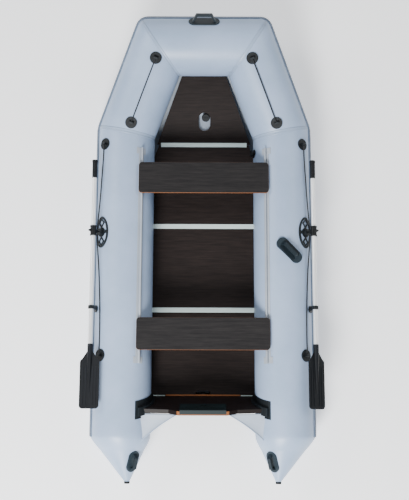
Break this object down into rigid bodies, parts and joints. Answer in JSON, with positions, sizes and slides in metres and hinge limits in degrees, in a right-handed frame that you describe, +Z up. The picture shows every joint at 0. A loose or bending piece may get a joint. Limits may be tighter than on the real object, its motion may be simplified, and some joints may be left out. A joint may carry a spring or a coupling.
{
  "type": "inflatable dinghy",
  "caption": "Inflatable dinghy with a mitred raised bow, board floor, raked motor transom, sliding plywood seats and swivelling oars stowed along the side tubes.",
  "frame": {"origin": "centre of the bounding box in plan, at the ground under the side tubes", "axes": "+Y towards the bow, +X to starboard, +Z up"},
  "size_m": [1.6522, 3.2567, 0.6802],
  "materials": {
    "black_plastic": "black moulded plastic",
    "black_rubber": "black moulded rubber",
    "floor_aluminium": "pale anodised extrusion",
    "floor_plywood": "dark film-faced plywood",
    "oar_aluminium": "bright drawn tube",
    "oar_plastic": "dark slate moulded plastic",
    "pad_plastic": "dark teal moulded plastic",
    "pin_plastic": "black moulded nylon",
    "rail": "light grey welded rail",
    "rope": "black braided cord",
    "seat_plywood": "dark film-faced plywood",
    "strake": "blue-grey rubbing strip",
    "transom_plywood": "dark film-faced plywood with copper-brown edges",
    "tube_fabric": "matte light blue-grey PVC-coated fabric"
  },
  "bodies": {
    "hull": {"bottom_skin": "tube_fabric", "bow_bottom_skin": "tube_fabric", "bow_floorboard": "floor_plywood", "bow_grab_line_port": "rope", "bow_grab_line_starboard": "rope", "bow_handle": "black_rubber", "bow_tube_center": "tube_fabric", "bow_tube_port": "tube_fabric", "bow_tube_starboard": "tube_fabric", "chamber_bulkheads": "tube_fabric", "cone_caps": "black_rubber", "drain_body": "black_plastic", "floor_joiners": "floor_aluminium", "floor_stringers": "floor_aluminium", "front_floorboard": "floor_plywood", "inner_motor_pad": "pad_plastic", "keel_tube": "tube_fabric", "keel_valve_body": "black_plastic", "lifeline_port": "rope", "lifeline_starboard": "rope", "line_eyes": "black_rubber", "middle_floorboard": "floor_plywood", "oar_clips": "black_plastic", "oarlock_base_port": "black_rubber", "oarlock_base_starboard": "black_rubber", "outer_motor_pad": "pad_plastic", "rear_floorboard": "floor_plywood", "rub_strake_bow": "strake", "rub_strake_port": "strake", "rub_strake_starboard": "strake", "seat_rail_port": "rail", "seat_rail_starboard": "rail", "side_handle": "black_rubber", "side_tube_port": "tube_fabric", "side_tube_starboard": "tube_fabric", "stern_cone_port": "tube_fabric", "stern_cone_starboard": "tube_fabric", "stern_handle_port": "black_rubber", "stern_handle_starboard": "black_rubber", "transom_board": "transom_plywood", "transom_holders": "black_rubber", "transom_knees": "tube_fabric", "tube_valve_body": "black_plastic"},
    "front_seat": {"front_seat_board": "seat_plywood", "front_seat_sliders": "black_plastic"},
    "rear_seat": {"rear_seat_board": "seat_plywood", "rear_seat_sliders": "black_plastic"},
    "drain_plug": {"drain_plug": "black_plastic"},
    "keel_valve_cap": {"keel_valve_cap": "black_plastic"},
    "tube_valve_cap": {"tube_valve_cap": "black_plastic"},
    "oarlock_pin_port": {"oarlock_pin_port": "pin_plastic"},
    "oar_sleeve_port": {"oar_sleeve_port": "black_plastic"},
    "oar_port": {"oar_shaft_port": "oar_aluminium", "oar_grip_port": "oar_plastic", "oar_blade_port": "oar_plastic"},
    "oarlock_pin_starboard": {"oarlock_pin_starboard": "pin_plastic"},
    "oar_sleeve_starboard": {"oar_sleeve_starboard": "black_plastic"},
    "oar_starboard": {"oar_shaft_starboard": "oar_aluminium", "oar_grip_starboard": "oar_plastic", "oar_blade_starboard": "oar_plastic"}
  },
  "joints": [
    {"name": "front_seat_slide", "type": "slide", "parent": "hull", "child": "front_seat", "axis": [0, 1, 0], "range_m": [-0.4, 0.1]},
    {"name": "rear_seat_slide", "type": "slide", "parent": "hull", "child": "rear_seat", "axis": [0, 1, 0], "range_m": [-0.08, 0.4]},
    {"name": "oarlock_tilt_starboard", "type": "hinge", "parent": "hull", "child": "oarlock_pin_starboard", "pos_m": [0.72239, 0.083, 0.36439], "axis": [0, 1, 0], "range_deg": [0, 20]},
    {"name": "oar_swing_starboard", "type": "hinge", "parent": "oarlock_pin_starboard", "child": "oar_sleeve_starboard", "pos_m": [0.75209, 0.083, 0.39409], "axis": [0.7071, 0, 0.7071], "range_deg": [0, 115]},
    {"name": "oar_feather_starboard", "type": "hinge", "parent": "oar_sleeve_starboard", "child": "oar_starboard", "pos_m": [0.7627, 0.083, 0.4047], "axis": [0, -1, 0], "range_deg": [0, 80]},
    {"name": "oarlock_tilt_port", "type": "hinge", "parent": "hull", "child": "oarlock_pin_port", "pos_m": [-0.72239, 0.083, 0.36439], "axis": [0, -1, 0], "range_deg": [0, 20]},
    {"name": "oar_swing_port", "type": "hinge", "parent": "oarlock_pin_port", "child": "oar_sleeve_port", "pos_m": [-0.75209, 0.083, 0.39409], "axis": [0.7071, 0, -0.7071], "range_deg": [0, 115]},
    {"name": "oar_feather_port", "type": "hinge", "parent": "oar_sleeve_port", "child": "oar_port", "pos_m": [-0.7627, 0.083, 0.4047], "axis": [0, 1, 0], "range_deg": [0, 80]},
    {"name": "drain_plug_pull", "type": "slide", "parent": "hull", "child": "drain_plug", "axis": [0, 0.9426, 0.3338], "range_m": [0, 0.03]},
    {"name": "keel_valve_turn", "type": "hinge", "parent": "hull", "child": "keel_valve_cap", "pos_m": [0.014, 0.99527, 0.14612], "axis": [0, -0.3714, 0.9285], "range_deg": [0, 90]},
    {"name": "tube_valve_turn", "type": "hinge", "parent": "hull", "child": "tube_valve_cap", "pos_m": [0.36318, 0.686, 0.25236], "axis": [-0.9744, 0, 0.225], "range_deg": [0, 90]}
  ]
}
